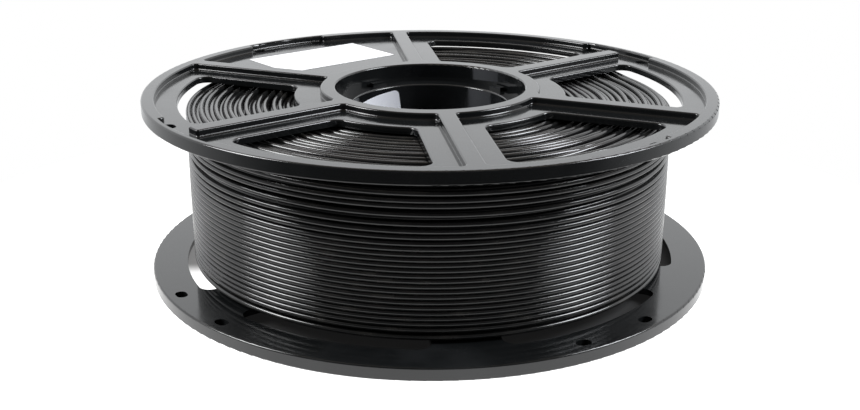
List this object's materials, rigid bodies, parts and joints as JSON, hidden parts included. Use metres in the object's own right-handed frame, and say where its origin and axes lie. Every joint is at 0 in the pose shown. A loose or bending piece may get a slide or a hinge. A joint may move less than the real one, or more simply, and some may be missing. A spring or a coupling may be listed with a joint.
{
  "type": "filament spool",
  "caption": "Spool of wound filament with two open-spoked round flanges clipped to a ribbed hub, and a plain round bore for a spindle.",
  "frame": {"origin": "centre of the lower flange's outer face, on the spool's axis, where the spool rests", "axes": "+Z along the spool's axis from the lower flange to the labelled upper flange; +X to the right and +Y away from the side that shows the flange label at the far left"},
  "size_m": [0.2, 0.2, 0.065],
  "materials": {
    "flange_plastic": "polished moulded plastic",
    "hub_plastic": "polished moulded plastic",
    "filament": "drawn plastic strand, slightly oily gloss",
    "label_paper": "smooth coated paper"
  },
  "bodies": {
    "root": {"upper_flange": "flange_plastic", "lower_flange": "flange_plastic", "hub_core": "hub_plastic", "filament_winding": "filament", "flange_label": "label_paper", "bore_label": "label_paper"}
  },
  "joints": []
}
